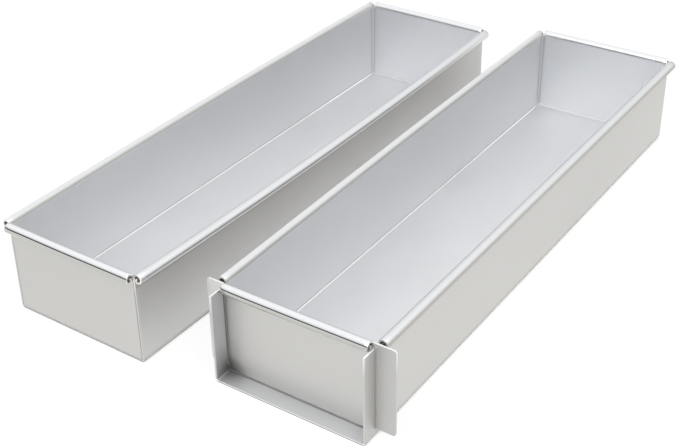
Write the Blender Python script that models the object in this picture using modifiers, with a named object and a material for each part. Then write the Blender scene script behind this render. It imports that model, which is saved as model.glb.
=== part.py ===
# A pair of long straight-sided aluminium cake pans and the folded bracket on the right pan's near end.
# Metres, +Z up. The origin is the centre of the right pan's underside, and the near ends face -Y.

import math

import bmesh
import bpy

MM = 0.001

# One pan, measured inside: between the side walls, between the end walls, and from the floor to the rim's top
INNER_WIDTH = 101.6 * MM
INNER_LENGTH = 406.4 * MM
INNER_DEPTH = 63.5 * MM
PAN_SHEET = 1.2 * MM
FLOOR_BEND_RADIUS = 0.7 * MM

# The curled rim: its outside diameter, and the space that its tucked-in edge keeps to the wall
RIM_DIAMETER = 6.6 * MM
RIM_TUCK_SPACE = 0.3 * MM
RIM_TUCK_ANGLE = math.radians(150)
# How far the side rims stop short of the bracket's end, and an end wall's rim of its sheet's edges,
# without and with the bracket in front of it, and how far down these notches go
BRACKET_END_SETBACK = 2.8 * MM
END_RIM_SETBACK = 0.2 * MM
BRACKET_RIM_SETBACK = 1.2 * MM
NOTCH_DROP = 1.0 * MM

# Welded seams inside the corners
SEAM_GAP = 0.3 * MM
WELD_LEG = 1.5 * MM
WELD_CLEARANCE = 0.4 * MM

# The left pan stands beside the right one, a little nearer and turned slightly
PAN_SPACE = 33.1 * MM
LEFT_PAN_LEAD = 21.3 * MM
LEFT_PAN_YAW = math.radians(-0.81)

# The bracket: a U as wide as the pan's walls, with two wings folded outwards at its back
BRACKET_SHEET = 1.2 * MM
BRACKET_DEPTH = 11.5 * MM
BRACKET_BEND_RADIUS = 1.3 * MM
BRACKET_GAP = 0.3 * MM
PLATE_DROP = 3.8 * MM
PLATE_CORNER_RADIUS = 1.0 * MM
LEFT_WING_WIDTH = 10.0 * MM
RIGHT_WING_WIDTH = 13.2 * MM
WING_DROP = 0.5 * MM
WING_FOOT = 5.8 * MM
WING_BEND_RADIUS = 0.3 * MM
WING_CORNER_RADIUS = 1.8 * MM
# The slit under the tab that each wing has above the plates, and the space from the tab to the end wall's rim
TAB_SLIT = 0.4 * MM
TAB_CLEARANCE = 0.4 * MM

# Facets in a turn of the rim, in a bend, in a rounded corner and in a weld's face
RIM_STEPS = 24
BEND_STEPS = 6
CORNER_STEPS = 4
WELD_STEPS = 6
SMOOTH_ANGLE = math.radians(35)
MERGE_DISTANCE = 0.01 * MM

QUARTER = math.pi / 2
OUTER_WIDTH = INNER_WIDTH + 2 * PAN_SHEET
OUTER_LENGTH = INNER_LENGTH + 2 * PAN_SHEET
RIM_TOP = PAN_SHEET + INNER_DEPTH
RIM_AXIS_HEIGHT = RIM_TOP - RIM_DIAMETER / 2

PAN_COLOR = (0.70, 0.71, 0.72)
PAN_ROUGHNESS = 0.45
WELD_COLOR = (0.62, 0.63, 0.64)
WELD_ROUGHNESS = 0.5
BRACKET_COLOR = (0.62, 0.62, 0.61)
BRACKET_ROUGHNESS = 0.4


def clear_scene():
    for obj in list(bpy.data.objects):
        bpy.data.objects.remove(obj, do_unlink=True)


def make_material(name, color, roughness):
    material = bpy.data.materials.new(name)
    material.use_nodes = True
    shader = material.node_tree.nodes["Principled BSDF"]
    shader.inputs["Base Color"].default_value = (*color, 1)
    shader.inputs["Metallic"].default_value = 1
    shader.inputs["Roughness"].default_value = roughness
    return material


def place(obj, collection, parent=None, location=(0, 0, 0), rotation=(0, 0, 0)):
    collection.objects.link(obj)
    obj.parent = parent
    obj.location = location
    obj.rotation_euler = rotation
    return obj


def arc(centre, radius, start, end, steps):
    """Points along an arc, both ends included."""
    angles = [start + (end - start) * step / steps for step in range(steps + 1)]
    return [(centre[0] + radius * math.cos(a), centre[1] + radius * math.sin(a)) for a in angles]


def rim_midline():
    """The curl's midline as (distance outwards from the wall's inner face, height).

    It leaves the top of the wall, goes over and round underneath, and its edge is tucked in beside the wall.
    """
    turn_radius = (RIM_DIAMETER - PAN_SHEET) / 2
    tuck_radius = turn_radius - PAN_SHEET - RIM_TUCK_SPACE
    turn_centre = (RIM_DIAMETER / 2, RIM_AXIS_HEIGHT)
    tuck_centre = (RIM_DIAMETER / 2, RIM_AXIS_HEIGHT - turn_radius + tuck_radius)
    turn = arc(turn_centre, turn_radius, math.pi, -QUARTER, RIM_STEPS * 3 // 4)
    tuck = arc(tuck_centre, tuck_radius, -QUARTER, -QUARTER - RIM_TUCK_ANGLE, RIM_STEPS // 2)
    return turn + tuck[1:]


def chain(bm, points):
    """A run of edges through the points."""
    verts = [bm.verts.new(point) for point in points]
    return [bm.edges.new(pair) for pair in zip(verts, verts[1:])]


def extend(bm, edges, offset):
    """Extrudes a run of edges by one straight step and returns the new far edges."""
    made = bmesh.ops.extrude_edge_only(bm, edges=edges)["geom"]
    verts = {item for item in made if isinstance(item, bmesh.types.BMVert)}
    bmesh.ops.translate(bm, verts=list(verts), vec=offset)
    return [item for item in made if isinstance(item, bmesh.types.BMEdge) and set(item.verts) <= verts]


def sweep(bm, edges, path):
    """Carries a run of edges along a path, which starts where the edges are, and returns the last ones."""
    for here, there in zip(path, path[1:]):
        edges = extend(bm, edges, [b - a for a, b in zip(here, there)])
    return edges


def shorten(edges, axis, low, high):
    """Draws a row's ends in along an axis, the one below zero by low and the one above zero by high."""
    for vert in {vert for edge in edges for vert in edge.verts}:
        if vert.co[axis] < 0:
            vert.co[axis] += low
        elif vert.co[axis] > 0:
            vert.co[axis] -= high


def round_corners(bm, picked, radius):
    verts = [vert for vert in bm.verts if picked(vert.co)]
    bmesh.ops.bevel(bm, geom=verts, offset=radius, segments=CORNER_STEPS, affect="VERTICES", profile=0.5)


def sheet_object(name, bm, thickness, material, is_half=True):
    """Turns a sheet's middle surface, whole or the half up to the plane X = 0, into the sheet."""
    mesh = bpy.data.meshes.new(name)
    bm.to_mesh(mesh)
    bm.free()
    obj = bpy.data.objects.new(name, mesh)
    if is_half:
        mirror = obj.modifiers.new("both sides", "MIRROR")
        mirror.merge_threshold = MERGE_DISTANCE
    solidify = obj.modifiers.new("sheet", "SOLIDIFY")
    solidify.thickness = thickness
    solidify.offset = 0
    solidify.use_even_offset = True
    return bake(obj, material)


def bake(obj, material):
    """Applies an object's modifiers and shades its round stretches smooth."""
    stage = bpy.context.scene.collection
    stage.objects.link(obj)
    evaluated = obj.evaluated_get(bpy.context.evaluated_depsgraph_get())
    mesh = bpy.data.meshes.new_from_object(evaluated)
    stage.objects.unlink(obj)
    obj.modifiers.clear()
    obj.data = mesh
    mesh.name = obj.name
    mesh.shade_smooth()
    mesh.set_sharp_from_angle(angle=SMOOTH_ANGLE)
    mesh.materials.clear()
    mesh.materials.append(material)
    return obj


def fold_sheet(bm, row, wall, rim, axis, setbacks):
    """Folds a sheet from a row of edges: along the wall at full length, and on with the rim drawn in."""
    row = sweep(bm, row, wall)
    row = sweep(bm, row, [wall[-1], rim[0]])
    shorten(row, axis, *setbacks)
    sweep(bm, row, rim)


def make_trough(name, near_setback, material):
    """Floor, two side walls and their curled rims, folded from one sheet that runs the pan's whole length."""
    half_length = OUTER_LENGTH / 2
    middle = PAN_SHEET / 2
    bend_centre = (INNER_WIDTH / 2 - FLOOR_BEND_RADIUS, PAN_SHEET + FLOOR_BEND_RADIUS)
    bend = arc(bend_centre, FLOOR_BEND_RADIUS + middle, -QUARTER, 0, BEND_STEPS)
    wall = [(0, middle), *bend, (INNER_WIDTH / 2 + middle, RIM_AXIS_HEIGHT - NOTCH_DROP)]
    rim = [(INNER_WIDTH / 2 + out, 0, height) for out, height in rim_midline()]
    bm = bmesh.new()
    row = chain(bm, [(0, -half_length, middle), (0, half_length, middle)])
    fold_sheet(bm, row, [(x, 0, z) for x, z in wall], rim, 1, (near_setback, 0))
    return sheet_object(name, bm, PAN_SHEET, material)


def make_end_wall(name, rim_setback, material):
    """An end wall with its rim, which stands inside the trough. Its outer face is at Y = 0."""
    half_width = INNER_WIDTH / 2 - SEAM_GAP
    foot = PAN_SHEET + SEAM_GAP
    middle = PAN_SHEET / 2
    wall = [(0, middle, foot), (0, middle, RIM_AXIS_HEIGHT - NOTCH_DROP)]
    rim = [(0, PAN_SHEET - out, height) for out, height in rim_midline()]
    bm = bmesh.new()
    row = chain(bm, [(0, middle, foot), (half_width, middle, foot)])
    fold_sheet(bm, row, wall, rim, 0, (0, rim_setback))
    round_corners(bm, lambda co: co.x > 0 and co.z < foot + middle, FLOOR_BEND_RADIUS - SEAM_GAP)
    return sheet_object(name, bm, PAN_SHEET, material)


def make_weld(name, length, material):
    """A weld along the local Z axis that fills the corner between the planes X = 0 and Y = 0."""
    curve = bpy.data.curves.new(name, "CURVE")
    curve.dimensions = "2D"
    curve.fill_mode = "BOTH"
    curve.extrude = length / 2
    points = [(SEAM_GAP, SEAM_GAP)] + arc((SEAM_GAP, SEAM_GAP), WELD_LEG, 0, QUARTER, WELD_STEPS)
    spline = curve.splines.new("POLY")
    spline.points.add(len(points) - 1)
    for point, (x, y) in zip(spline.points, points):
        point.co = (x, y, 0, 1)
    spline.use_cyclic_u = True
    curve.materials.append(material)
    return bpy.data.objects.new(name, curve)


def add_end(prefix, sides, end, rim_setback, collection, materials):
    """One end wall, its two upright welds and the weld along its foot, placed on the end's empty."""
    sheet, weld = materials
    place(make_end_wall(f"{prefix}_wall", rim_setback, sheet), collection, end)
    weld_foot = PAN_SHEET + SEAM_GAP + WELD_LEG + WELD_CLEARANCE
    weld_top = RIM_AXIS_HEIGHT - WELD_CLEARANCE
    upright = weld_top - weld_foot
    middle = (weld_top + weld_foot) / 2
    for side, sign, turn in ((sides[0], -1, 0), (sides[1], 1, QUARTER)):
        seam = make_weld(f"{prefix}_{side}_weld", upright, weld)
        place(seam, collection, end, (sign * INNER_WIDTH / 2, PAN_SHEET, middle), (0, 0, turn))
    along = INNER_WIDTH - 2 * (FLOOR_BEND_RADIUS + WELD_CLEARANCE)
    seam = make_weld(f"{prefix}_floor_weld", along, weld)
    place(seam, collection, end, (0, PAN_SHEET, PAN_SHEET), (QUARTER, 0, QUARTER))


def add_pan(prefix, collection, location, yaw, near_setbacks, materials):
    """A whole pan on an empty at the centre of its underside, with its near rims' two setbacks given."""
    base = place(bpy.data.objects.new(f"{prefix}_base", None), collection, None, location, (0, 0, yaw))
    side_setback, end_setback = near_setbacks
    place(make_trough(f"{prefix}_trough", side_setback, materials[0]), collection, base)
    ends = (
        ("near", ("left", "right"), -1, 0, end_setback),
        ("far", ("right", "left"), 1, math.pi, END_RIM_SETBACK),
    )
    for which, sides, sign, turn, rim_setback in ends:
        end = bpy.data.objects.new(f"{prefix}_{which}_end", None)
        place(end, collection, base, (0, sign * OUTER_LENGTH / 2, 0), (0, 0, turn))
        add_end(f"{prefix}_{which}", sides, end, rim_setback, collection, materials)


def make_bracket(name, material):
    """The folded bracket, with its back at Y = 0 and its open U towards -Y."""
    half = BRACKET_SHEET / 2
    plate_x = OUTER_WIDTH / 2 - half
    plate_top = RIM_TOP - PLATE_DROP
    wing_top = RIM_TOP - WING_DROP
    bend_radius = BRACKET_BEND_RADIUS + half
    bend_centre = (plate_x - bend_radius, half + bend_radius)
    wing_radius = WING_BEND_RADIUS + half
    bend_start = -half - wing_radius
    front = -BRACKET_DEPTH
    section = [(0, half)] + arc(bend_centre, bend_radius, -QUARTER, 0, BEND_STEPS)
    section += [(plate_x, WING_FOOT), (plate_x, plate_top)]

    bm = bmesh.new()
    front_edges = chain(bm, [(x, front, z) for x, z in section])
    back_edges = extend(bm, front_edges, (0, bend_start - front, 0))
    round_corners(bm, lambda co: co.y == front and co.z > plate_top - half, PLATE_CORNER_RADIUS)

    # The floor and its bends run straight to the back, and the plates turn outwards into the wings
    def above_foot(edge):
        return all(vert.co.z > WING_FOOT - half / 2 for vert in edge.verts)

    extend(bm, [edge for edge in back_edges if not above_foot(edge)], (0, -bend_start, 0))
    turn = arc((plate_x + wing_radius, bend_start), wing_radius, math.pi, QUARTER, BEND_STEPS)
    wing_root = plate_x + wing_radius
    wing_tip = OUTER_WIDTH / 2 + LEFT_WING_WIDTH
    path = [(x, y, 0) for x, y in turn] + [(wing_tip, -half, 0)]
    sweep(bm, [edge for edge in back_edges if above_foot(edge)], path)

    # Beyond its bend each wing rises a little higher than the plates, and up there a tab runs back inwards
    # into the notch between the rims' ends
    def on_wing_top(edge):
        return all(vert.co.z > plate_top - half and vert.co.x > wing_root - MERGE_DISTANCE for vert in edge.verts)

    raised = extend(bm, [edge for edge in bm.edges if on_wing_top(edge)], (0, 0, TAB_SLIT))
    extend(bm, raised, (0, 0, wing_top - plate_top - TAB_SLIT))

    def on_tab_root(edge):
        return all(vert.co.z > plate_top + TAB_SLIT / 2 and vert.co.x < wing_root + half for vert in edge.verts)

    tab_end = INNER_WIDTH / 2 - BRACKET_RIM_SETBACK + TAB_CLEARANCE
    extend(bm, [edge for edge in bm.edges if on_tab_root(edge)], (tab_end - wing_root, 0, 0))
    for height in (WING_FOOT, wing_top):
        round_corners(bm, lambda co: co.x > wing_tip - half and abs(co.z - height) < half, WING_CORNER_RADIUS)

    # This half stands for both sides, and then the right wing is drawn out to its own width
    bmesh.ops.mirror(bm, geom=[*bm.verts, *bm.edges, *bm.faces], axis="X", merge_dist=MERGE_DISTANCE)
    for vert in bm.verts:
        if vert.co.x > wing_root + half:
            vert.co.x += RIGHT_WING_WIDTH - LEFT_WING_WIDTH
    bmesh.ops.recalc_face_normals(bm, faces=bm.faces)
    return sheet_object(name, bm, BRACKET_SHEET, material, is_half=False)


def main():
    clear_scene()
    collection = bpy.data.collections.new("long_cake_pans")
    bpy.context.scene.collection.children.link(collection)
    materials = (
        make_material("satin_aluminium", PAN_COLOR, PAN_ROUGHNESS),
        make_material("weld_aluminium", WELD_COLOR, WELD_ROUGHNESS),
    )
    bracket_end = (BRACKET_END_SETBACK, BRACKET_RIM_SETBACK)
    add_pan("right_pan", collection, (0, 0, 0), 0, bracket_end, materials)
    across = INNER_WIDTH + 2 * RIM_DIAMETER + PAN_SPACE
    left_place = (-across, -LEFT_PAN_LEAD, 0)
    add_pan("left_pan", collection, left_place, LEFT_PAN_YAW, (0, END_RIM_SETBACK), materials)
    folded = make_material("bracket_aluminium", BRACKET_COLOR, BRACKET_ROUGHNESS)
    place(make_bracket("end_bracket", folded), collection, None, (0, -OUTER_LENGTH / 2 - BRACKET_GAP, 0))


main()
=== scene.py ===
# Two long satin aluminium cake pans, and the folded bracket at the right one's near end
import math

import bmesh
import bpy
from mathutils import Matrix, Vector


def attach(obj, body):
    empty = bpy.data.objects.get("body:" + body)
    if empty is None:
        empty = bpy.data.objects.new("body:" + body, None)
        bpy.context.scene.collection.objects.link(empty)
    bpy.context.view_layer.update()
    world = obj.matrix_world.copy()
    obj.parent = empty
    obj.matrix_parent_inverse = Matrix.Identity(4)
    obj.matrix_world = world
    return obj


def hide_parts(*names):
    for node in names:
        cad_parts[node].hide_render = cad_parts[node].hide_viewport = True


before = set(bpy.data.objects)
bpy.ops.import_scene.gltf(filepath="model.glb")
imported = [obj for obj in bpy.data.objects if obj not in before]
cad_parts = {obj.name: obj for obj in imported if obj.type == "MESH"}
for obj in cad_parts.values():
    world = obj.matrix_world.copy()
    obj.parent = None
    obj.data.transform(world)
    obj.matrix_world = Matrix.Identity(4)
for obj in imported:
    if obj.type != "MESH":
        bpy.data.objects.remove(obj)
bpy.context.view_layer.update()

mm = 0.001
tiny = 0.01 * mm
quarter = math.pi / 2
scene = bpy.context.scene


# Node and mesh helpers
def node(tree, kind, values=None, **settings):
    made = tree.nodes.new(kind)
    for name, value in settings.items():
        setattr(made, name, value)
    for socket, value in (values or {}).items():
        if isinstance(value, bpy.types.NodeSocket):
            tree.links.new(value, made.inputs[socket])
        else:
            made.inputs[socket].default_value = value
    return made


def calc(tree, operation, *values, clamp=False):
    inputs = dict(enumerate(values))
    return node(tree, "ShaderNodeMath", inputs, operation=operation, use_clamp=clamp).outputs[0]


def newGeometryTree(name, sockets):
    tree = bpy.data.node_groups.new(name, "GeometryNodeTree")
    tree.interface.new_socket("Geometry", in_out="INPUT", socket_type="NodeSocketGeometry")
    ids = {}
    for label, kind in sockets.items():
        ids[label] = tree.interface.new_socket(label, in_out="INPUT", socket_type=kind).identifier
    tree.interface.new_socket("Geometry", in_out="OUTPUT", socket_type="NodeSocketGeometry")
    return tree, ids, tree.nodes.new("NodeGroupInput").outputs


def closeTree(tree, geometry, material):
    smooth = node(tree, "GeometryNodeSetShadeSmooth", {"Geometry": geometry})
    real = node(tree, "GeometryNodeRealizeInstances", {"Geometry": smooth.outputs[0]})
    painted = node(tree, "GeometryNodeSetMaterial", {"Geometry": real.outputs[0], "Material": material})
    end = tree.nodes.new("NodeGroupOutput")
    tree.links.new(painted.outputs[0], end.inputs[0])


def useTree(obj, tree, ids, values):
    modifier = obj.modifiers.new("shape", "NODES")
    modifier.node_group = tree
    for label, value in values.items():
        modifier[ids[label]] = value


easing = {"segments": 2, "fromAngle": 55}     # how a cut edge is rounded, and from which angle in degrees


def thicken(obj, thickness, edgeRadius):
    solid = obj.modifiers.new("sheet", "SOLIDIFY")
    solid.thickness = thickness
    solid.offset = 0
    solid.use_even_offset = True
    solid.material_offset = 1
    solid.material_offset_rim = 2
    rounded = obj.modifiers.new("eased edges", "BEVEL")
    rounded.width = edgeRadius
    rounded.segments = easing["segments"]
    rounded.limit_method = "ANGLE"
    rounded.angle_limit = math.radians(easing["fromAngle"])


def harden(obj, matrix, sharpAngle=40):
    scene.collection.objects.link(obj)
    evaluated = obj.evaluated_get(bpy.context.evaluated_depsgraph_get())
    mesh = bpy.data.meshes.new_from_object(evaluated)
    obj.modifiers.clear()
    obj.data = mesh
    mesh.name = obj.name
    mesh.transform(matrix)
    mesh.shade_smooth()
    mesh.set_sharp_from_angle(angle=math.radians(sharpAngle))
    mesh.update()


def arc(centre, radius, start, end, steps):
    angles = [start + (end - start) * step / steps for step in range(steps + 1)]
    return [(centre[0] + radius * math.cos(a), centre[1] + radius * math.sin(a)) for a in angles]


def line(a, b, steps):
    return [(a[0] + (b[0] - a[0]) * k / steps, a[1] + (b[1] - a[1]) * k / steps) for k in range(steps + 1)]


# The camera stands where the photograph was taken from; its angles are in degrees
cameraView = {
    "place": (0.34241, -0.66514, 0.4821),
    "turn": 35.563,
    "height": 31.28,
    "roll": -1.618,
    "lens": 68.45,
    "sensor": 36,
    "shift": (0.0396, -0.0314),
    "nearest": 0.01,
    "farthest": 50,
}


def addCamera(view):
    data = bpy.data.cameras.new("camera")
    data.sensor_width = view["sensor"]
    data.lens = view["lens"]
    data.shift_x, data.shift_y = view["shift"]
    data.clip_start = view["nearest"]
    data.clip_end = view["farthest"]
    obj = bpy.data.objects.new("camera", data)
    scene.collection.objects.link(obj)
    turn, height = math.radians(view["turn"]), math.radians(view["height"])
    back = Vector((math.sin(turn) * math.cos(height), -math.cos(turn) * math.cos(height), math.sin(height)))
    aim = (-back).to_track_quat("-Z", "Y").to_matrix()
    roll = Matrix.Rotation(math.radians(view["roll"]), 3, "Z")
    obj.matrix_world = Matrix.Translation(view["place"]) @ (aim @ roll).to_4x4()
    scene.camera = obj


addCamera(cameraView)
print("camera placed")


# What all finishes share: the scales of the noise patterns and how much each one shows
pattern = {
    "cloudScale": 22,
    "mottleScale": 420,
    "grainScale": 3800,
    "waveScale": 30,
    "rubScale": 60,
    "patchScale": 34,
    "middle": (0.3, 0.7),
    "cloudShade": 0.6,
    "mottleShade": 0.35,
    "rollingShade": 0.45,
    "cloudRough": 0.5,
    "mottleRough": 0.3,
    "rollingRough": 0.5,
    "rubRange": (0.2, 0.6),
    "rubLeast": 0.9,
    "rubPlain": 0.85,
    "rubPaintedHighlight": 3.0,
    "rubWarmth": 0.25,
    "patchRange": (0.50, 0.62),
    "hairlineRange": (0.735, 0.765),
    "hairlines": (((0.3, 0.2, 0.62), (1500, 26, 1500)), ((-0.2, 0.4, -0.95), (1300, 34, 1300))),
    "hairlineShade": 1.6,
    "hairlineRough": 1.5,
    "hairlineDepth": 0.8,
    "rollingDepth": 0.6,
    "openRange": (0.45, 0.9),
    "openSamples": 4,
    "footShadeHeight": (0.35 * mm, 0.8 * mm),
    "lipHighlightStart": (0.6 * mm, 0.9 * mm),
    "lipHighlightEnd": (1.3 * mm, 1.6 * mm),
    "crownHeight": (48 * mm, 61 * mm),
    "underRimHeight": (52.8 * mm, 54.8 * mm),
    "cornerShadePlace": (-48 * mm, -205 * mm, 2 * mm),
    "cornerShadeReach": (1 * mm, 11 * mm),
}
panFinish = {
    "color": (0.748, 0.753, 0.764),
    "colorSpread": 0.018,
    "roughness": 0.49,
    "roughnessSpread": 0.06,
    "grainHeight": 0.008 * mm,
    "waveHeight": 0.05 * mm,
    "streak": (900, 14, 900),
    "scratches": 0.10,
    "polish": 5.0,
    "painted_light": 0.30,
    "warmth": (0, 0.010, 0.045),
    "paintedCreaseShade": 0,
    "creaseWidth": 1.2 * mm,
    # The foot value paints shade at the very foot
    "foot": 0,
    "paintedLipHighlight": 0,
    "crownBurnishAndHighlight": 0,
    "paintedUnderRimShade": 0,
    "paintedCornerShade": 0,
}
acrossStreak = (14, 900, 900)
outsideFinish = dict(panFinish, color=(0.655, 0.649, 0.631), roughness=0.48, paintedCreaseShade=0.25, foot=0.8)
sideFinish = dict(outsideFinish, paintedUnderRimShade=0.16)
shadedSideFinish = dict(sideFinish, color=(0.605, 0.601, 0.592))
endInsideFinish = dict(panFinish, color=(0.728, 0.735, 0.748), roughness=0.40, streak=acrossStreak)
endOutsideFinish = dict(outsideFinish, streak=acrossStreak, paintedCornerShade=0.6)
panEdgeFinish = dict(outsideFinish, painted_light=0, polish=0, paintedCreaseShade=0, foot=0.7, crownBurnishAndHighlight=0.45)
weldFinish = dict(panFinish, color=(0.560, 0.566, 0.578), colorSpread=0.05, roughness=0.58, scratches=0)
bracketFinish = dict(panFinish, color=(0.600, 0.596, 0.582), roughness=0.56, streak=(20, 1100, 1100),
                     scratches=0.2, painted_light=0.4, warmth=(0, 0.003, 0.010), paintedCreaseShade=0.7, foot=0.6)
bracketInsideFinish = dict(bracketFinish, color=(0.590, 0.594, 0.604), foot=0, paintedCornerShade=0.3)
cutFinish = dict(panFinish, color=(0.610, 0.609, 0.600), colorSpread=0.04, roughness=0.38, scratches=0,
                 painted_light=0, foot=0.7, paintedLipHighlight=1.0, crownBurnishAndHighlight=0.5)


def satinAluminium(name, look):
    material = bpy.data.materials.new(name)
    material.use_nodes = True
    tree = material.node_tree
    shader = tree.nodes["Principled BSDF"]
    shader.inputs["Metallic"].default_value = 1
    place = node(tree, "ShaderNodeTexCoord").outputs["Object"]

    def noise(scale, detail=2, vector=place):
        values = {"Vector": vector, "Scale": scale, "Detail": detail}
        return node(tree, "ShaderNodeTexNoise", values).outputs["Fac"]

    def stretched(scale, turn=(0, 0, 0)):
        values = {"Vector": place, "Scale": scale, "Rotation": turn}
        return node(tree, "ShaderNodeMapping", values).outputs[0]

    def ramp(value, low, high, outLow=0, outHigh=1):
        values = {"Value": value, "From Min": low, "From Max": high, "To Min": outLow, "To Max": outHigh}
        return node(tree, "ShaderNodeMapRange", values).outputs[0]

    def vectors(operation, values, output=0):
        return node(tree, "ShaderNodeVectorMath", values, operation=operation).outputs[output]

    def centred(value, weight):
        return ramp(value, *pattern["middle"], -weight, weight)

    def graded(amount, value, reach, low, high):
        return calc(tree, "MULTIPLY", amount, ramp(value, *reach, low, high))

    cloud = noise(pattern["cloudScale"], detail=4)               # soft patches a few centimetres across
    mottle = noise(pattern["mottleScale"], detail=3)             # the etched surface's fine mottling
    rolling = noise(1, vector=stretched(look["streak"]))         # faint lines along the rolling direction
    grain = noise(pattern["grainScale"])

    # Hairline handling scratches in two directions, thinned out by patches
    patches = ramp(noise(pattern["patchScale"]), *pattern["patchRange"])
    marks = []
    for turn, scale in pattern["hairlines"]:
        mark = noise(1, detail=1, vector=stretched(scale, turn))
        marks.append(ramp(mark, *pattern["hairlineRange"]))
    hairlines = calc(tree, "MULTIPLY", calc(tree, "MAXIMUM", *marks), patches)
    hairlines = calc(tree, "MULTIPLY", hairlines, look["scratches"])

    # Where hands and racks rub, the satin is polished a little, and the same share lightens its colour as a
    # painted highlight
    rub_and_highlight = node(tree, "ShaderNodeAttribute", attribute_name="rub_and_highlight").outputs["Fac"]
    rub_and_highlight = graded(rub_and_highlight, noise(pattern["rubScale"]), pattern["rubRange"], pattern["rubLeast"], 1)
    plain = calc(tree, "MULTIPLY_ADD", rub_and_highlight, -pattern["rubPlain"], 1)

    shade = calc(tree, "ADD", centred(cloud, pattern["cloudShade"]),
                 centred(mottle, pattern["mottleShade"]))
    shade = calc(tree, "ADD", shade, centred(rolling, pattern["rollingShade"]))
    shade = calc(tree, "MULTIPLY", shade, plain)
    # Painted highlight: rubbed places, such as the rims' tops and the floor's bend lines, are lightened
    shade = calc(tree, "ADD", shade, calc(tree, "MULTIPLY", rub_and_highlight, pattern["rubPaintedHighlight"]))
    shade = calc(tree, "MULTIPLY_ADD", hairlines, -pattern["hairlineShade"], shade)
    bright = calc(tree, "MULTIPLY_ADD", shade, look["colorSpread"], 1)
    # Painted shade where this attribute is above 0, painted highlight where it is below 0: on the rims, the
    # bend lines and the bracket
    painted_light = node(tree, "ShaderNodeAttribute", attribute_name="painted_light").outputs["Fac"]
    bright = calc(tree, "MULTIPLY", bright, calc(tree, "MULTIPLY_ADD", painted_light, -look["painted_light"], 1))
    # Painted shade: darker in folds and joints, found by ambient occlusion
    openness = node(tree, "ShaderNodeAmbientOcclusion", {"Distance": look["creaseWidth"]},
                    samples=pattern["openSamples"]).outputs["AO"]
    bright = graded(bright, openness, pattern["openRange"], 1 - look["paintedCreaseShade"], 1)
    # Painted shade: the very foot is darker where it meets the table; a painted highlight lightens a cut
    # edge just above that
    height = node(tree, "ShaderNodeSeparateXYZ", {0: place}).outputs[2]
    bright = graded(bright, height, pattern["footShadeHeight"], 1 - look["foot"], 1)
    paintedLipHighlight = graded(ramp(height, *pattern["lipHighlightStart"]), height, pattern["lipHighlightEnd"], 1, 0)
    bright = calc(tree, "MULTIPLY", bright, calc(tree, "MULTIPLY_ADD", paintedLipHighlight, look["paintedLipHighlight"], 1))
    # Towards the top, where hands touch them, the cut edges are lighter: partly burnish, partly a painted
    # highlight
    bright = graded(bright, height, pattern["crownHeight"], 1, 1 + look["crownBurnishAndHighlight"])
    # Painted shade: the walls are darker in the shelter of the rims
    bright = graded(bright, height, pattern["underRimHeight"], 1, 1 - look["paintedUnderRimShade"])
    # Painted shade: darker in the lower left corner behind the bracket
    away = vectors("DISTANCE", {0: place, 1: pattern["cornerShadePlace"]}, "Value")
    bright = graded(bright, away, pattern["cornerShadeReach"], 1 - look["paintedCornerShade"], 1)
    tone = vectors("SCALE", {0: look["color"], "Scale": bright})
    # Where shade is painted, and where the metal is rubbed, the colour is also a little warmer than the
    # etched sheet
    warmed = calc(tree, "MAXIMUM", painted_light, calc(tree, "MULTIPLY", rub_and_highlight, pattern["rubWarmth"]))
    warm = vectors("SCALE", {0: look["warmth"], "Scale": warmed})
    tone = vectors("SUBTRACT", {0: tone, 1: warm})
    tree.links.new(tone, shader.inputs["Base Color"])

    rough = calc(tree, "ADD", centred(cloud, pattern["cloudRough"]),
                 centred(rolling, pattern["rollingRough"]))
    rough = calc(tree, "ADD", rough, centred(mottle, pattern["mottleRough"]))
    rough = calc(tree, "MULTIPLY", rough, plain)
    rough = calc(tree, "MULTIPLY_ADD", rub_and_highlight, -look["polish"], rough)
    rough = calc(tree, "MULTIPLY_ADD", hairlines, pattern["hairlineRough"], rough)
    rough = calc(tree, "MULTIPLY_ADD", rough, look["roughnessSpread"], look["roughness"], clamp=True)
    tree.links.new(rough, shader.inputs["Roughness"])

    fine = calc(tree, "ADD", grain, calc(tree, "MULTIPLY", rolling, pattern["rollingDepth"]))
    fine = calc(tree, "SUBTRACT", fine, calc(tree, "MULTIPLY", hairlines, pattern["hairlineDepth"]))
    values = {"Height": fine, "Distance": look["grainHeight"], "Strength": plain}
    small = node(tree, "ShaderNodeBump", values).outputs[0]
    wide = noise(pattern["waveScale"])
    values = {"Height": wide, "Distance": look["waveHeight"], "Strength": 1, "Normal": small}
    big = node(tree, "ShaderNodeBump", values)
    tree.links.new(big.outputs[0], shader.inputs["Normal"])
    return material


cutMaterial = satinAluminium("shearedEdge", cutFinish)
panEdgeMaterial = satinAluminium("panEdge", panEdgeFinish)
weldMaterial = satinAluminium("weldMetal", weldFinish)
# Each sheet's inside, outside and cut edge; the left pan's outsides are a darker copy of the right one's,
# as painted shade
troughInside = satinAluminium("satinInside", panFinish)
troughMaterials = {
    "right_pan": (troughInside, satinAluminium("satinOutside", sideFinish), panEdgeMaterial),
    "left_pan": (troughInside, satinAluminium("satinOutsideLeftShaded", shadedSideFinish), panEdgeMaterial),
}
endMaterials = (satinAluminium("satinEndInside", endInsideFinish),
                satinAluminium("satinEndOutside", endOutsideFinish), panEdgeMaterial)
# The bracket's outer side, which is the wings' front, its inner side and its cut edge
bracketMaterials = (satinAluminium("satinBracket", bracketFinish),
                    satinAluminium("satinBracketInside", bracketInsideFinish), cutMaterial)
print("finishes made")


# A folded sheet is a bent section that is carried along Y, row by row. Slow waves run through it
sheetWaves = {"height": 0.5 * mm, "scale": 11.0, "detail": 1.0}


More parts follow.
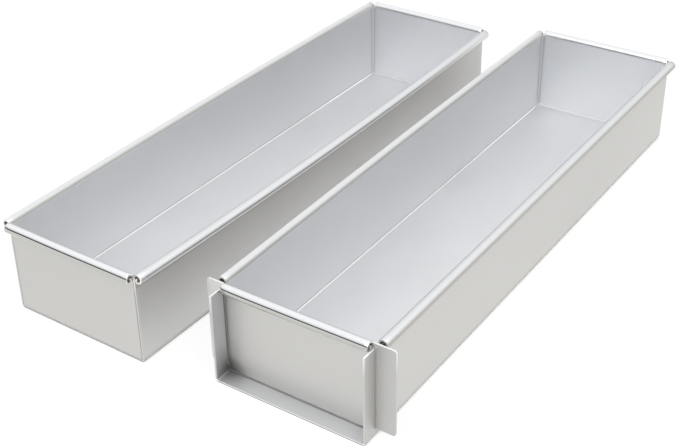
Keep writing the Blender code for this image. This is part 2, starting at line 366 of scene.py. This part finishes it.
def makeSheetTree():
    tree, ids, given = newGeometryTree("foldedSheet", {
        "Points": "NodeSocketInt",
        "Rows": "NodeSocketInt",
        "Length": "NodeSocketFloat",
        "Bow left": "NodeSocketFloat",
        "Bow right": "NodeSocketFloat",
        "Waviness": "NodeSocketFloat",
        "Wave seed": "NodeSocketFloat",
        "Sheet": "NodeSocketMaterial",
    })
    grid = node(tree, "GeometryNodeMeshGrid", {"Vertices X": given["Points"], "Vertices Y": given["Rows"]})
    index = tree.nodes.new("GeometryNodeInputIndex").outputs[0]
    ratio = calc(tree, "DIVIDE", calc(tree, "ADD", index, 0.5), given["Rows"])
    column = calc(tree, "FLOOR", ratio)
    row = calc(tree, "FLOOR", calc(tree, "MULTIPLY", calc(tree, "FRACT", ratio), given["Rows"]))
    run = calc(tree, "DIVIDE", row, calc(tree, "SUBTRACT", given["Rows"], 1))
    side = calc(tree, "MULTIPLY_ADD", run, 2, -1)         # -1 at the low end, 1 at the high end

    def sampled(kind, value):
        values = {"Geometry": given["Geometry"], "Value": value, "Index": column}
        return node(tree, "GeometryNodeSampleIndex", values, data_type=kind).outputs[0]

    def stored(name):
        read = node(tree, "GeometryNodeInputNamedAttribute", {"Name": name}, data_type="FLOAT")
        return sampled("FLOAT", read.outputs[0])

    spot = sampled("FLOAT_VECTOR", tree.nodes.new("GeometryNodeInputPosition").outputs[0])
    parts = node(tree, "ShaderNodeSeparateXYZ", {0: spot}).outputs

    def chosen(value, negative, positive):
        isPositive = node(tree, "FunctionNodeCompare", {0: value, 1: 0.0}, operation="GREATER_THAN")
        values = {"Switch": isPositive.outputs[0], "False": negative, "True": positive}
        return node(tree, "GeometryNodeSwitch", values, input_type="FLOAT").outputs[0]

    draw = chosen(side, stored("drawLow"), stored("drawHigh"))
    half = calc(tree, "SUBTRACT", calc(tree, "MULTIPLY", given["Length"], 0.5), draw)
    y = calc(tree, "MULTIPLY", side, half)
    bow = chosen(parts[0], given["Bow left"], given["Bow right"])
    crest = calc(tree, "SUBTRACT", 1, calc(tree, "MULTIPLY", side, side))
    lift = stored("lift")
    bent = calc(tree, "MULTIPLY", calc(tree, "MULTIPLY", bow, lift), crest)
    # A folded sheet is never quite flat: slow waves that die out at its ends
    spread = node(tree, "ShaderNodeCombineXYZ", {0: parts[0], 1: y, 2: parts[2]}).outputs[0]
    values = {"Vector": spread, "W": given["Wave seed"],
              "Scale": sheetWaves["scale"], "Detail": sheetWaves["detail"]}
    wave = node(tree, "ShaderNodeTexNoise", values, noise_dimensions="4D").outputs["Fac"]
    wave = calc(tree, "MULTIPLY", calc(tree, "SUBTRACT", wave, 0.5), given["Waviness"])
    wave = calc(tree, "MULTIPLY", calc(tree, "MULTIPLY", wave, calc(tree, "ABSOLUTE", lift)), crest)
    x = calc(tree, "ADD", calc(tree, "ADD", parts[0], bent), wave)
    place = node(tree, "ShaderNodeCombineXYZ", {0: x, 1: y, 2: parts[2]}).outputs[0]
    marked = grid.outputs["Mesh"]
    for name in ("rub_and_highlight", "painted_light"):
        values = {"Geometry": marked, "Name": name, "Value": stored(name)}
        marked = node(tree, "GeometryNodeStoreNamedAttribute", values, data_type="FLOAT").outputs[0]
    shaped = node(tree, "GeometryNodeSetPosition", {"Geometry": marked, "Position": place})
    closeTree(tree, shaped.outputs[0], given["Sheet"])
    return tree, ids


sheetTree, sheetIds = makeSheetTree()


def sectionObject(name, section):
    mesh = bpy.data.meshes.new(name)
    mesh.from_pydata([(point["at"][0], 0, point["at"][1]) for point in section], [], [])
    for key in ("drawLow", "drawHigh", "lift", "rub_and_highlight", "painted_light"):
        values = mesh.attributes.new(key, "FLOAT", "POINT")
        values.data.foreach_set("value", [float(point.get(key, 0)) for point in section])
    return bpy.data.objects.new(name, mesh)


# The pans' sheets. A bow is how far a wall's top swells outwards in the middle
panSize = {
    "innerWidth": 101.6 * mm,
    "innerLength": 406.4 * mm,
    "innerDepth": 63.5 * mm,
    "sheet": 1.2 * mm,
    "floorBend": 0.7 * mm,
    "wallFoot": 1.2 * mm,
    "edgeRadius": 0.22 * mm,
    "endBow": 0.25 * mm,
    "bowPower": 1.6,
    "bendRubAndHighlight": 1,
    "bendPaintedHighlight": -0.6,
    "bendTopPaintedShade": 0.8,
    "sideRows": 61,
    "endRows": 31,
    "floorSteps": 10,
    "bendSteps": 12,
    "wallSteps": 14,
    "cornerSteps": 6,
}
# The rims. Each table of painted light says, by angle in degrees from straight outwards, how much painted
# shade (above 0) or painted highlight (below 0) a curl gets
rimSize = {
    "diameter": 6.6 * mm,
    "tuckSpace": 0.3 * mm,
    "tuckAngle": math.radians(150),
    "notchDrop": 1.0 * mm,
    "steps": 40,
    "sideRubAndHighlight": 0.5,
    "endRubAndHighlight": 1,
    "rubRise": 4,                                         # fully rubbed from a quarter of the turn on
    "sidePaintedLight": ((-90, 0.9), (-30, 0.9), (-12, 1.3), (16, 1.3), (36, 0.15), (110, 0.15),
                 (160, -0.3), (180, -0.5)),
    "leftPanSidePaintedLight": ((-90, 1.2), (-34, 1.5), (-16, 0.1), (16, 0), (36, 0.2), (110, 0.2),
                      (160, -0.3), (180, -0.5)),
    "leftRimPaintedLight": ((-90, 0), (30, -0.8), (72, -1.0), (92, -0.1), (120, 0.3), (132, 0.55),
                 (144, 1.0), (158, 1.0), (171, 0.2), (180, -0.4)),
    "endRimPaintedLight": ((-90, 0.8), (-32, 0.7), (-8, 1), (14, 0.9), (44, 0), (62, -0.35),
                (120, -0.35), (150, 0), (180, 0)),
}
panPlaces = {
    "right_pan": {
        "at": (0, 0, 0),
        "yaw": 0,
        "bow": (0.9 * mm, 0.1 * mm),
        "seed": 3.0,
        "painted_light": "sidePaintedLight",
        "sideSetback": 2.8 * mm,
        "endSetback": {"near": 1.2 * mm, "far": 0.2 * mm},
    },
    "left_pan": {
        "at": (-147.9 * mm, -21.3 * mm, 0),
        "yaw": math.radians(-0.81),
        "bow": (1.6 * mm, 3.6 * mm),
        "seed": 11.0,
        "painted_light": "leftPanSidePaintedLight",
        "sideSetback": 0,
        "endSetback": {"near": 0.2 * mm, "far": 0.2 * mm},
    },
}
outerWidth = panSize["innerWidth"] + 2 * panSize["sheet"]
outerLength = panSize["innerLength"] + 2 * panSize["sheet"]
rimTop = panSize["sheet"] + panSize["innerDepth"]
rimAxis = rimTop - rimSize["diameter"] / 2


def rimPaintedLight(angle, stops):
    degrees = math.degrees(angle)
    for (low, lowSoil), (high, highSoil) in zip(stops, stops[1:]):
        if degrees <= high:
            return lowSoil + (highSoil - lowSoil) * max(0, degrees - low) / (high - low)
    return 0


def rimSection(stops, polish):
    # Distance outwards from the wall's inner face, and height: over, round underneath and tucked in
    sheet = panSize["sheet"]
    turnRadius = (rimSize["diameter"] - sheet) / 2
    tuckRadius = turnRadius - sheet - rimSize["tuckSpace"]
    centre = (rimSize["diameter"] / 2, rimAxis)
    inner = (rimSize["diameter"] / 2, rimAxis - turnRadius + tuckRadius)
    turn = arc(centre, turnRadius, math.pi, -quarter, rimSize["steps"] * 3 // 4)
    tuck = arc(inner, tuckRadius, -quarter, -quarter - rimSize["tuckAngle"], rimSize["steps"] // 3)
    # The rub share both polishes the curl and lightens it as a painted highlight
    rubAndHighlightShares = [polish * min(1, k / len(turn) * rimSize["rubRise"]) for k in range(len(turn))]
    whole = math.pi + quarter                             # how far the curl turns before it tucks in
    # Painted shade and painted highlight around the curl, by angle, from the chosen table
    paintedLights = [rimPaintedLight(math.pi - whole * k / (len(turn) - 1), stops) for k in range(len(turn))]
    inTuck = [0] * (len(tuck) - 1)
    marks = [{"rub_and_highlight": rub_and_highlight, "painted_light": painted_light} for rub_and_highlight, painted_light in zip(rubAndHighlightShares + inTuck, paintedLights + inTuck)]
    return list(zip(turn + tuck[1:], marks))


def wallLift(height):
    return max(0, height / rimAxis) ** panSize["bowPower"]


def troughSection(nearSetback, paintedLightName):
    sheet, bend = panSize["sheet"], panSize["floorBend"]
    inside = panSize["innerWidth"] / 2
    bends = arc((inside - bend, sheet + bend), bend + sheet / 2, -quarter, 0, panSize["bendSteps"])
    wallTop = (inside + sheet / 2, rimAxis - rimSize["notchDrop"])
    half = [{"at": at} for at in line((0, sheet / 2), bends[0], panSize["floorSteps"])[:-1] + bends[:1]]
    # The floor's bend lines get a painted highlight, and painted shade just above them
    half += [{"at": at, "rub_and_highlight": panSize["bendRubAndHighlight"], "painted_light": panSize["bendPaintedHighlight"]} for at in bends[1:-2]]
    half += [{"at": bends[-2]}, {"at": bends[-1], "painted_light": panSize["bendTopPaintedShade"]}]
    wallFoot = (bends[-1][0], bends[-1][1] + panSize["wallFoot"])
    half += [{"at": at, "lift": wallLift(at[1])} for at in line(wallFoot, wallTop, panSize["wallSteps"])]
    left, right = [half + [{"at": (inside + out, height), "lift": 1, "drawLow": nearSetback, **marks}
                           for (out, height), marks in rimSection(rimSize[stops], rimSize["sideRubAndHighlight"])]
                   for stops in ("leftRimPaintedLight", paintedLightName)]
    other = [dict(point, at=(-point["at"][0], point["at"][1]), lift=-point.get("lift", 0))
             for point in left[1:]]
    return other[::-1] + right


def endSection(setback):
    # The foot's two corners are rounded, so that the sheet clears the floor's bends
    sheet = panSize["sheet"]
    foot = sheet + seamSize["gap"]
    corner = panSize["floorBend"] - seamSize["gap"]
    rise = line((0, foot), (0, foot + corner), panSize["cornerSteps"])[:-1]
    rise += line((0, foot + corner), (0, rimAxis - rimSize["notchDrop"]), panSize["wallSteps"])
    points = []
    for _, height in rise:
        low = max(0, foot + corner - height)
        draw = corner - math.sqrt(max(0, corner ** 2 - low ** 2))
        points.append({"at": (-sheet / 2, height), "drawLow": draw, "drawHigh": draw,
                       "lift": wallLift(height)})
    points += [{"at": (out - sheet, height), "drawLow": setback, "drawHigh": setback, "lift": 1, **marks}
               for (out, height), marks in rimSection(rimSize["endRimPaintedLight"], rimSize["endRubAndHighlight"])]
    return points


def paint(obj, materials):
    # The sheet's two sides and its cut edge keep the order that Solidify gave them
    mesh = obj.data
    places = [0] * len(mesh.polygons)
    mesh.polygons.foreach_get("material_index", places)
    lowest = min(places)
    places = [place - lowest for place in places]
    mesh.materials.clear()
    for material in materials:
        mesh.materials.append(material)
    mesh.polygons.foreach_set("material_index", places)


def addSheet(name, section, length, rows, bow, seed, materials, matrix, cadNode):
    obj = sectionObject(name, section)
    for material in (materials[0], *materials):     # the node tree's faces start at the second slot
        obj.data.materials.append(material)
    useTree(obj, sheetTree, sheetIds, {
        "Points": len(section), "Rows": rows, "Length": length, "Bow left": bow[0], "Bow right": bow[1],
        "Waviness": sheetWaves["height"], "Wave seed": seed, "Sheet": materials[0]})
    thicken(obj, panSize["sheet"], panSize["edgeRadius"])
    harden(obj, matrix)
    paint(obj, materials)
    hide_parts(cadNode)
    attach(obj, "pans")


# Weld beads, laid as overlapping ripples along each inside seam
seamSize = {
    "gap": 0.3 * mm,
    "leg": 1.5 * mm,
    "bulge": 0.12,
    "ripple": 0.10 * mm,
    "pitch": 1.3 * mm,
    "stepsPerRipple": 5,
    "rippleBend": 0.35,
    "jitter": 1.4,
    "jitterScale": 260,
    "jitterDetail": 2.0,
    "outlineSteps": 10,
    "endSpace": 0.4 * mm,
    "sharpAngle": 60,
}


def makeSeamTree():
    tree, ids, given = newGeometryTree("weldBead", {
        "Length": "NodeSocketFloat",
        "Leg": "NodeSocketFloat",
        "Ripple": "NodeSocketFloat",
        "Pitch": "NodeSocketFloat",
        "Seed": "NodeSocketFloat",
        "Weld": "NodeSocketMaterial",
    })
    half = calc(tree, "MULTIPLY", given["Length"], 0.5)
    low = node(tree, "ShaderNodeCombineXYZ", {2: calc(tree, "MULTIPLY", half, -1)}).outputs[0]
    high = node(tree, "ShaderNodeCombineXYZ", {2: half}).outputs[0]
    path = node(tree, "GeometryNodeCurvePrimitiveLine", {"Start": low, "End": high}).outputs[0]
    step = calc(tree, "DIVIDE", given["Pitch"], seamSize["stepsPerRipple"])
    fine = node(tree, "GeometryNodeResampleCurve", {"Curve": path, "Length": step}, mode="LENGTH")
    outline = node(tree, "GeometryNodeMeshToCurve", {"Mesh": given["Geometry"]})
    values = {"Curve": fine.outputs[0], "Profile Curve": outline.outputs[0], "Fill Caps": True}
    bead = node(tree, "GeometryNodeCurveToMesh", values)
    place = tree.nodes.new("GeometryNodeInputPosition").outputs[0]
    parts = node(tree, "ShaderNodeSeparateXYZ", {0: place}).outputs
    across = calc(tree, "DIVIDE", calc(tree, "MULTIPLY", parts[0], parts[1]),
                  calc(tree, "MULTIPLY", given["Leg"], given["Leg"]))
    face = calc(tree, "MULTIPLY", across, 4, clamp=True)
    spot = calc(tree, "MULTIPLY_ADD", parts[2], seamSize["jitterScale"], given["Seed"])
    values = {"W": spot, "Scale": 1.0, "Detail": seamSize["jitterDetail"]}
    jitter = node(tree, "ShaderNodeTexNoise", values, noise_dimensions="1D").outputs["Fac"]
    phase = calc(tree, "DIVIDE", parts[2], given["Pitch"])
    phase = calc(tree, "ADD", phase, calc(tree, "MULTIPLY", jitter, seamSize["jitter"]))
    bend = calc(tree, "MULTIPLY", face, seamSize["rippleBend"])
    scallop = calc(tree, "FRACT", calc(tree, "ADD", phase, bend))
    scallop = calc(tree, "MULTIPLY", scallop, calc(tree, "SUBTRACT", 1, scallop))
    height = calc(tree, "MULTIPLY_ADD", scallop, 4, calc(tree, "SUBTRACT", jitter, 1))
    height = calc(tree, "MULTIPLY", calc(tree, "MULTIPLY", height, given["Ripple"]), face)
    push = node(tree, "ShaderNodeCombineXYZ", {0: height, 1: height}).outputs[0]
    shaped = node(tree, "GeometryNodeSetPosition", {"Geometry": bead.outputs[0], "Offset": push})
    closeTree(tree, shaped.outputs[0], given["Weld"])
    return tree, ids


seamTree, seamIds = makeSeamTree()


def beadOutline():
    # From one leg to the other, bulged a little, and back through the root of the corner
    leg, steps = seamSize["leg"], seamSize["outlineSteps"]
    points = []
    for k in range(steps + 1):
        share = k / steps
        out = seamSize["bulge"] * leg * math.sin(math.pi * share) / math.sqrt(2)
        points.append((leg * (1 - share) + out, leg * share + out))
    return [(0.0, 0.0)] + points


def addSeam(name, length, matrix, seed, cadNode):
    outline = beadOutline()
    ring = [(k, (k + 1) % len(outline)) for k in range(len(outline))]
    mesh = bpy.data.meshes.new(name)
    mesh.from_pydata([(x, y, 0) for x, y in outline], ring, [])
    obj = bpy.data.objects.new(name, mesh)
    useTree(obj, seamTree, seamIds, {"Length": length, "Leg": seamSize["leg"], "Ripple": seamSize["ripple"],
                                     "Pitch": seamSize["pitch"], "Seed": seed, "Weld": weldMaterial})
    harden(obj, matrix, seamSize["sharpAngle"])
    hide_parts(cadNode)
    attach(obj, "pans")


def turned(x=0, z=0):
    return Matrix.Rotation(z, 4, "Z") @ Matrix.Rotation(x, 4, "X")


def addPan(prefix, place):
    base = Matrix.Translation(place["at"]) @ turned(z=place["yaw"])
    section = troughSection(place["sideSetback"], place["painted_light"])
    addSheet(f"{prefix}_folded_trough", section, outerLength, panSize["sideRows"], place["bow"],
             place["seed"], troughMaterials[prefix], base, f"{prefix}_trough")
    inside = panSize["innerWidth"] / 2
    sheet = panSize["sheet"]
    across = panSize["innerWidth"] - 2 * seamSize["gap"]
    endBow = (panSize["endBow"], panSize["endBow"])
    ends = (("near", ("left", "right"), -1, 0), ("far", ("right", "left"), 1, math.pi))
    for which, sides, sign, turn in ends:
        end = base @ Matrix.Translation((0, sign * outerLength / 2, 0)) @ turned(z=turn)
        # The section's X points out of the pan, and its length runs across
        lay = end @ turned(z=-quarter)
        section = endSection(place["endSetback"][which])
        addSheet(f"{prefix}_{which}_end_sheet", section, across, panSize["endRows"], endBow,
                 place["seed"] + sign, endMaterials, lay, f"{prefix}_{which}_wall")
        middle = (rimAxis + sheet) / 2
        for hand, flip, around in ((sides[0], -1, 0), (sides[1], 1, quarter)):
            corner = end @ Matrix.Translation((flip * inside, sheet, middle)) @ turned(z=around)
            addSeam(f"{prefix}_{which}_{hand}_bead", rimAxis - sheet, corner,
                    place["seed"] * 7 + flip + sign * 3, f"{prefix}_{which}_{hand}_weld")
        along = panSize["innerWidth"] - 2 * seamSize["endSpace"]
        root = end @ Matrix.Translation((0, sheet, sheet)) @ turned(x=quarter, z=quarter)
        addSeam(f"{prefix}_{which}_floor_bead", along, root, place["seed"] * 5 + sign,
                f"{prefix}_{which}_floor_weld")


for panName, panPlace in panPlaces.items():
    addPan(panName, panPlace)
    print(panName, "made")


# The folded bracket. A value below 0 lightens the left wing as a painted highlight
bracketSize = {
    "sheet": 1.2 * mm,
    "depth": 11.5 * mm,
    "bend": 1.3 * mm,
    "gap": 0.3 * mm,
    "plateDrop": 3.8 * mm,
    "plateCorner": 1.0 * mm,
    "leftWing": 10.0 * mm,
    "rightWing": 13.2 * mm,
    "wingDrop": 0.5 * mm,
    "wingFoot": 5.8 * mm,
    "wingBend": 0.3 * mm,
    "wingCorner": 1.8 * mm,
    "tabSlit": 0.4 * mm,
    "tabSpace": 0.4 * mm,
    "edgeRadius": 0.4 * mm,
    "bracketCornerShadeReach": 22 * mm,
    "leftWingPaintedLight": -0.65,
    "flatSteps": 6,
    "bendSteps": 10,
    "cornerSteps": 6,
}


def extend(bm, edges, offset):
    made = bmesh.ops.extrude_edge_only(bm, edges=edges)["geom"]
    verts = {item for item in made if isinstance(item, bmesh.types.BMVert)}
    bmesh.ops.translate(bm, verts=list(verts), vec=offset)
    return [item for item in made if isinstance(item, bmesh.types.BMEdge) and set(item.verts) <= verts]


def sweep(bm, edges, path):
    for here, there in zip(path, path[1:]):
        edges = extend(bm, edges, [b - a for a, b in zip(here, there)])
    return edges


def roundCorners(bm, picked, radius):
    verts = [vert for vert in bm.verts if picked(vert.co)]
    bmesh.ops.bevel(bm, geom=verts, offset=radius, segments=bracketSize["cornerSteps"],
                    affect="VERTICES", profile=0.5)


def addBracket(size):
    half = size["sheet"] / 2
    plateX = outerWidth / 2 - half
    plateTop = rimTop - size["plateDrop"]
    wingTop = rimTop - size["wingDrop"]
    bend = size["bend"] + half
    wing = size["wingBend"] + half
    wingRoot = plateX + wing
    bendStart = -half - wing
    front = -size["depth"]
    section = line((0, half), (plateX - bend, half), size["flatSteps"])[:-1]
    section += arc((plateX - bend, half + bend), bend, -quarter, 0, size["bendSteps"])
    section += [(plateX, size["wingFoot"])]
    section += line((plateX, size["wingFoot"]), (plateX, plateTop), size["flatSteps"])[1:]

    bm = bmesh.new()
    verts = [bm.verts.new((x, front, z)) for x, z in section]
    frontEdges = [bm.edges.new(pair) for pair in zip(verts, verts[1:])]
    backEdges = extend(bm, frontEdges, (0, bendStart - front, 0))
    roundCorners(bm, lambda co: co.y == front and co.z > plateTop - half, size["plateCorner"])

    def aboveFoot(edge):
        return all(vert.co.z > size["wingFoot"] - half / 2 for vert in edge.verts)

    extend(bm, [edge for edge in backEdges if not aboveFoot(edge)], (0, -bendStart, 0))
    turn = arc((wingRoot, bendStart), wing, math.pi, quarter, size["bendSteps"])
    wingTip = outerWidth / 2 + size["leftWing"]
    outwards = [(x, y, 0) for x, y in turn] + [(wingTip, -half, 0)]
    sweep(bm, [edge for edge in backEdges if aboveFoot(edge)], outwards)

    # Beyond its bend each wing rises a little higher than the plates, and a tab runs back inwards up there
    def onWingTop(edge):
        return all(vert.co.z > plateTop - half and vert.co.x > wingRoot - tiny for vert in edge.verts)

    raised = extend(bm, [edge for edge in bm.edges if onWingTop(edge)], (0, 0, size["tabSlit"]))
    extend(bm, raised, (0, 0, wingTop - plateTop - size["tabSlit"]))
    tabFoot = plateTop + size["tabSlit"] / 2

    def onTabRoot(edge):
        return all(vert.co.z > tabFoot and vert.co.x < wingRoot + half for vert in edge.verts)

    tabEnd = panSize["innerWidth"] / 2 - panPlaces["right_pan"]["endSetback"]["near"] + size["tabSpace"]
    extend(bm, [edge for edge in bm.edges if onTabRoot(edge)], (tabEnd - wingRoot, 0, 0))
    for height in (size["wingFoot"], wingTop):
        roundCorners(bm, lambda co: co.x > wingTip - half and abs(co.z - height) < half, size["wingCorner"])
    # The left side is the same, and then the right wing is drawn out to its own width
    bmesh.ops.mirror(bm, geom=[*bm.verts, *bm.edges, *bm.faces], axis="X", merge_dist=tiny)
    for vert in bm.verts:
        if vert.co.x > wingRoot + half:
            vert.co.x += size["rightWing"] - size["leftWing"]
    bmesh.ops.recalc_face_normals(bm, faces=bm.faces)
    # Painted shade in the lower left corner, and a painted highlight on the left wing and its tab
    painted_light = bm.verts.layers.float.new("painted_light")
    for vert in bm.verts:
        away = math.hypot(vert.co.x + plateX, vert.co.z)
        onTab = vert.co.x < 0 and vert.co.z > tabFoot
        onLeftWing = onTab or vert.co.x < tiny - wingRoot
        vert[painted_light] = size["leftWingPaintedLight"] if onLeftWing else max(0, 1 - away / size["bracketCornerShadeReach"])
    mesh = bpy.data.meshes.new("folded_bracket")
    bm.to_mesh(mesh)
    bm.free()
    obj = bpy.data.objects.new("folded_bracket", mesh)
    for material in bracketMaterials:
        mesh.materials.append(material)
    thicken(obj, size["sheet"], size["edgeRadius"])
    harden(obj, Matrix.Translation((0, -outerLength / 2 - size["gap"], 0)))
    paint(obj, bracketMaterials)
    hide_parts("end_bracket")
    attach(obj, "bracket")


addBracket(bracketSize)
print("bracket made")


# The floor, the room that the metal reflects, and the lamp. Each rise, fade and top is a pair: where it
# starts and where it ends, by how far a direction leans that way. The dark side's turn is in degrees
studio = {
    "floorSize": 40,
    "floorColor": (0.86, 0.855, 0.845),
    "floorGlow": 0.86,
    "contact": 2.2 * mm,
    "contactFade": (0.45, 0.9),
    "contactSamples": 6,
    "lowSky": (0.88, 0.89, 0.90),
    "highSky": (1.08, 1.09, 1.10),
    "skyRise": (0.36, 0.66),
    "rightSky": 0.22,
    "rightRise": (-0.2, 0.8),
    "ringDepth": 0.32,
    "ringHeight": 0.04,
    "ringFade": (0.03, 0.16),
    "darkSide": (0.05, 0.05, 0.05),
    "darkTurn": -10,
    "darkRise": (0.25, 0.75),
    "darkTop": (0.24, 0.40),
    "lampPower": 17,
    "lampSize": 1.6,
    "lampPlace": (0.30, -0.75, 1.35),
    "lampAim": (-0.07, 0, 0),
}


def addStudio(look):
    bm = bmesh.new()
    bmesh.ops.create_grid(bm, x_segments=1, y_segments=1, size=look["floorSize"] / 2)
    mesh = bpy.data.meshes.new("floor")
    bm.to_mesh(mesh)
    bm.free()
    floor = bpy.data.objects.new("floor", mesh)
    scene.collection.objects.link(floor)
    material = bpy.data.materials.new("paleFloor")
    material.use_nodes = True
    tree = material.node_tree
    tree.nodes.clear()
    matt = node(tree, "ShaderNodeBsdfDiffuse", {"Color": (*look["floorColor"], 1)})
    glow = node(tree, "ShaderNodeEmission", {"Color": (1, 1, 1, 1), "Strength": 1.0})
    path = node(tree, "ShaderNodeLightPath").outputs
    seen = calc(tree, "MAXIMUM", path["Is Glossy Ray"], path["Is Transmission Ray"])
    seen = calc(tree, "MAXIMUM", path["Is Camera Ray"], seen)
    # The glow stops where something stands on the floor, which leaves a thin contact shadow
    openness = node(tree, "ShaderNodeAmbientOcclusion", {"Distance": look["contact"]},
                    samples=look["contactSamples"]).outputs["AO"]
    low, high = look["contactFade"]
    values = {"Value": openness, "From Min": low, "From Max": high}
    clear = node(tree, "ShaderNodeMapRange", values).outputs[0]
    share = calc(tree, "MULTIPLY", calc(tree, "MULTIPLY", seen, look["floorGlow"]), clear)
    mixed = node(tree, "ShaderNodeMixShader", {0: share, 1: matt.outputs[0], 2: glow.outputs[0]})
    end = node(tree, "ShaderNodeOutputMaterial")
    tree.links.new(mixed.outputs[0], end.inputs[0])
    mesh.materials.append(material)

    world = bpy.data.worlds.new("studio")
    scene.world = world
    world.use_nodes = True
    tree = world.node_tree
    tree.nodes.clear()
    direction = node(tree, "ShaderNodeTexCoord").outputs["Generated"]
    across, _, up = node(tree, "ShaderNodeSeparateXYZ", {0: direction}).outputs

    def rise(value, reach):
        values = {"Value": value, "From Min": reach[0], "From Max": reach[1]}
        return node(tree, "ShaderNodeMapRange", values, interpolation_type="SMOOTHSTEP").outputs[0]

    def fall(value, reach):
        return calc(tree, "SUBTRACT", 1, rise(value, reach))

    def blend(share, low, high):
        made = node(tree, "ShaderNodeMix", {0: share}, data_type="RGBA")
        for socket, value in ((6, low), (7, high)):
            if isinstance(value, bpy.types.NodeSocket):
                tree.links.new(value, made.inputs[socket])
            else:
                made.inputs[socket].default_value = (*value, 1)
        return made.outputs[2]

    sky = blend(rise(up, look["skyRise"]), look["lowSky"], look["highSky"])
    gain = calc(tree, "MULTIPLY_ADD", rise(across, look["rightRise"]), look["rightSky"], 1)
    # Where the floor's end meets the walls of the room, a dimmer ring runs all round
    off = calc(tree, "ABSOLUTE", calc(tree, "SUBTRACT", up, look["ringHeight"]))
    ring = calc(tree, "MULTIPLY", fall(off, look["ringFade"]), look["ringDepth"])
    gain = calc(tree, "MULTIPLY", gain, calc(tree, "SUBTRACT", 1, ring))
    # The unlit part of the room lies low, towards the camera
    turn = math.radians(look["darkTurn"])
    values = {0: direction, 1: (math.sin(turn), -math.cos(turn), 0)}
    toward = node(tree, "ShaderNodeVectorMath", values, operation="DOT_PRODUCT").outputs["Value"]
    dark = calc(tree, "MULTIPLY", rise(toward, look["darkRise"]), fall(up, look["darkTop"]))
    sky = blend(dark, sky, look["darkSide"])
    light = node(tree, "ShaderNodeBackground", {"Color": sky, "Strength": gain})
    end = node(tree, "ShaderNodeOutputWorld")
    tree.links.new(light.outputs[0], end.inputs[0])

    lamp = bpy.data.lights.new("softbox", "AREA")
    lamp.shape = "SQUARE"
    lamp.size = look["lampSize"]
    lamp.energy = look["lampPower"]
    obj = bpy.data.objects.new("softbox", lamp)
    obj.location = look["lampPlace"]
    aim = Vector(look["lampAim"]) - Vector(look["lampPlace"])
    obj.rotation_euler = aim.to_track_quat("-Z", "Y").to_euler()
    scene.collection.objects.link(obj)


addStudio(studio)
scene.view_settings.view_transform = "Standard"
print("studio made")
